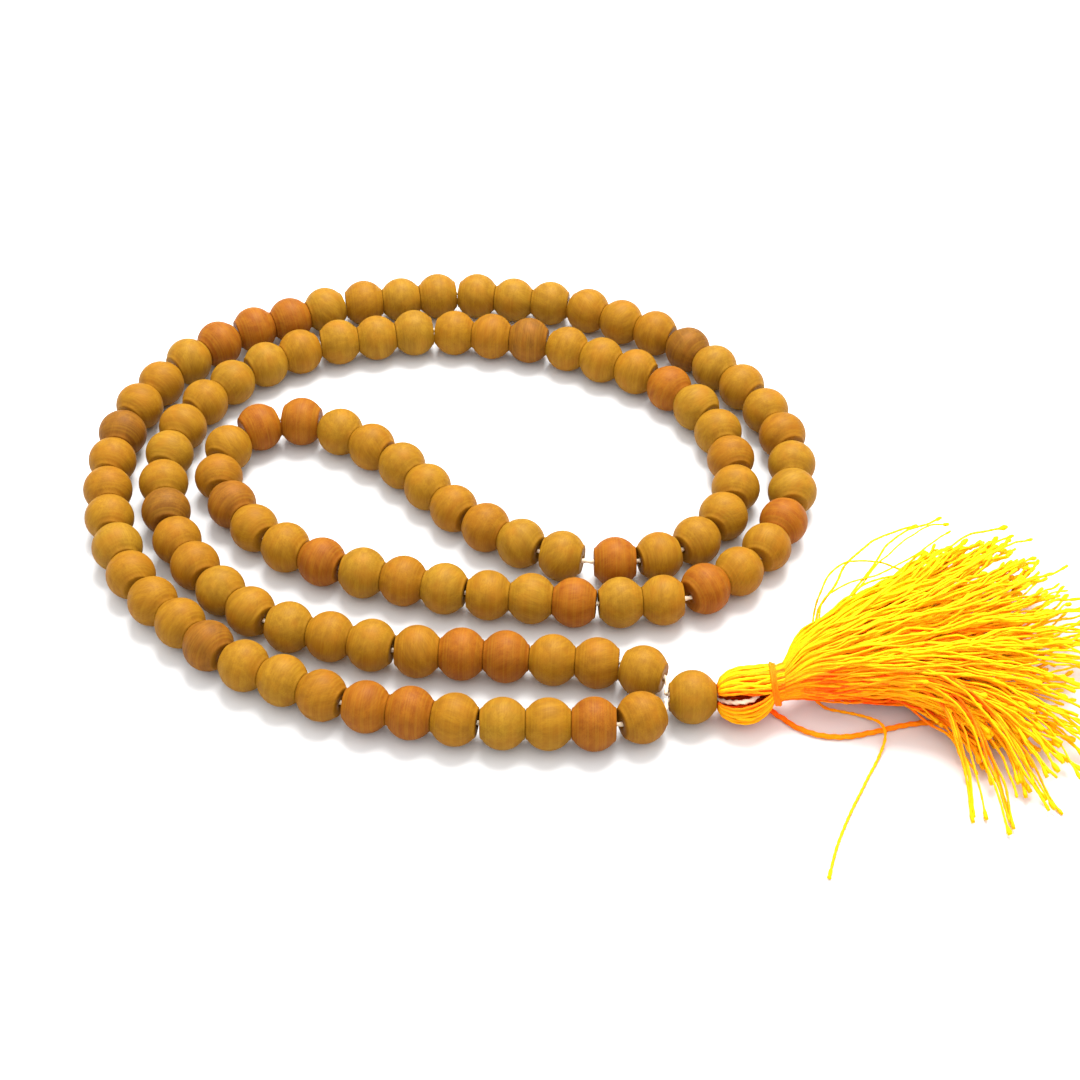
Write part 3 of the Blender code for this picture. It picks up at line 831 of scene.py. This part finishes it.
def tip_swell(flare):
    """A skirt thread's thickness along it: drawn together at the neck, frayed at the tip."""
    swell = np.interp(np.arange(SKIRT_RINGS), [0, SKIRT_RINGS * 0.16], [0.72, 1.0])
    swell[-TIP_RINGS:] *= 1.0 + flare * np.sin(np.linspace(0.0, 0.8 * pi, TIP_RINGS))
    return swell


def skirt_thread(fan, across, height, reach, drift, dice):
    """One skirt thread from inside the neck to its cut tip, which is this far along the skirt."""
    sink = dice.uniform(-0.3, 0.1)
    points = [neck_point(NECK_PLACE[0] + x, across, height) for x in (-0.6, 0.7)]
    steps = 10
    for k in range(1, steps + 1):
        part = k / steps
        here = within(across + drift * part ** 1.4)
        points.append(tuple(fan_point(fan, part * reach, here, within(height + sink * part))))
    return waved(evenly(smooth_line(points, 8), SKIRT_RINGS), dice, SKIRT_WAVE)


def bed_thread(fan, place, dice):
    """A thread from inside the skirt, deep orange as painted shade, and how pale it is."""
    height, reach, drift = dice.uniform(0.0, 0.6), dice.uniform(0.5, 0.88), dice.gauss(0.0, 0.075)
    return skirt_thread(fan, place, height, reach, drift, dice), dice.uniform(-0.15, 0.35)


def lock_threads(fan, place, dice):
    """Threads that lie together as one lock, and how pale each is. near goes from 0 to 1 over the near
    third of the skirt, where few locks reach the tips."""
    across = 0.92 * place ** 1.15 + dice.uniform(-0.01, 0.01)
    near = max(across - 0.62, 0.0) / 0.38
    reach = dice.uniform(0.84, 1.0) if dice.random() > 2.4 * near else dice.uniform(0.5, 0.76)
    height = dice.uniform(0.8, 1.0) if dice.random() < 0.66 else dice.uniform(0.4, 0.8)
    drift = dice.gauss(0.0, 0.06) - 0.08 * near
    # Painted light and shade: paler on top and towards the far edge, where the light falls. Some locks are
    # deep, shorter and mixed in tone, painting the red-orange shade among the paler ones
    tone = 0.5 * height - 0.5 * across + 0.44 + dice.uniform(-0.16, 0.16)
    spread = 0.12
    if across > 0.25 and dice.random() < 0.26:
        tone, reach, spread = dice.uniform(0.0, 0.2), 0.86 * reach, 0.3
    for _ in range(LOCK_THREADS):
        aside = within(across + dice.gauss(0.0, 0.016))
        up = within(height + dice.gauss(0.0, 0.07))
        cut = reach * dice.uniform(0.9, 1.05) if dice.random() < 0.85 else reach * dice.uniform(0.7, 0.9)
        line = skirt_thread(fan, aside, up, cut, drift + dice.gauss(0.0, 0.03), dice)
        yield line, tone + dice.uniform(-spread, spread)


def near_lock(route, dice):
    """The threads of one lock at the near corner, which spread a little to their tips."""
    open_out = np.linspace(0.0, 1.0, len(route))[:, None] ** 0.7
    for _ in range(NEAR_LOCK_THREADS):
        aside = np.array([dice.uniform(-1.6, 1.6), dice.uniform(-0.6, 1.8), dice.gauss(0.0, 0.5)])
        line = np.array(route) + open_out * aside
        yield waved(evenly(smooth_line(line), SKIRT_RINGS), dice, NEAR_LOCK_WAVE), dice.uniform(0.0, 0.7)


def make_skirt(finish):
    """The cut ends of the hank, in a few pieces: a bed of threads, deep orange as painted shade inside the
    skirt, under paler locks. The first piece also has the loose threads and the locks at the near corner."""
    fan = skirt_rays()
    for part in range(SKIRT_PARTS):
        dice = random.Random(SKIRT_SEED + part)
        lines = []
        for k in range(part, BED_THREADS, SKIRT_PARTS):
            lines.append(bed_thread(fan, (k + 0.5) / BED_THREADS, dice))
        for k in range(part, SKIRT_LOCKS, SKIRT_PARTS):
            lines.extend(lock_threads(fan, (k + 0.5) / SKIRT_LOCKS, dice))
        if part == 0:
            for route in FLYAWAYS:
                line = evenly(smooth_line(route), SKIRT_RINGS)
                lines.append((waved(line, dice, FLYAWAY_WAVE), 0.8))
            for route in NEAR_LOCKS:
                lines.extend(near_lock(route, dice))
        threads = Strands()
        for line, tone in lines:
            diameter = THREAD_DIAMETER * dice.uniform(0.75, 1.05)
            swell = tip_swell(dice.uniform(0.2, 1.4))
            # Painted shade and light along each thread: deeper where it goes into the neck, paler at its
            # tip
            neck, tip = 0.5 * tone + 0.2, 0.4 * tone + 0.5
            tones = [neck - 0.2, neck, tone, tone, tip, tip + 0.2]
            shade = np.interp(np.arange(SKIRT_RINGS), TONE_RINGS, tones)
            threads.add(lie_on_table(line, diameter / 2 * swell), diameter, shade=shade, sides=6,
                        start=dice.uniform(0.0, pi), swell=swell)
        skirt = threads.build(f"skirt_threads_{part + 1}", finish)
        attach(skirt, "tassel")
        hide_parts("tassel_skirt")


# ---------------------------------------------------------------- the whole

make_camera()
make_light()
make_floor()

cotton = thread_material("cream_cotton", COTTON)
yellow = thread_material("yellow_thread", YELLOW, DYED_GLOW)
orange = thread_material("orange_thread", ORANGE, DYED_GLOW)
make_loop_string(cotton)
make_table_thread("binding_thread_tail", TAIL_ROUTE, TAIL_DIAMETER, "binding_tail", orange,
                  plies=3, flare=0.0)
make_table_thread("stray_skirt_thread", STRAY_ROUTE, STRAY_DIAMETER, "stray_thread", yellow,
                  plies=2, flare=0.5)

wood = wood_material()
make_beads(wood)
make_guru(wood)
make_string_loop(cotton)
make_head(yellow)
make_binding(orange)
make_skirt(yellow)
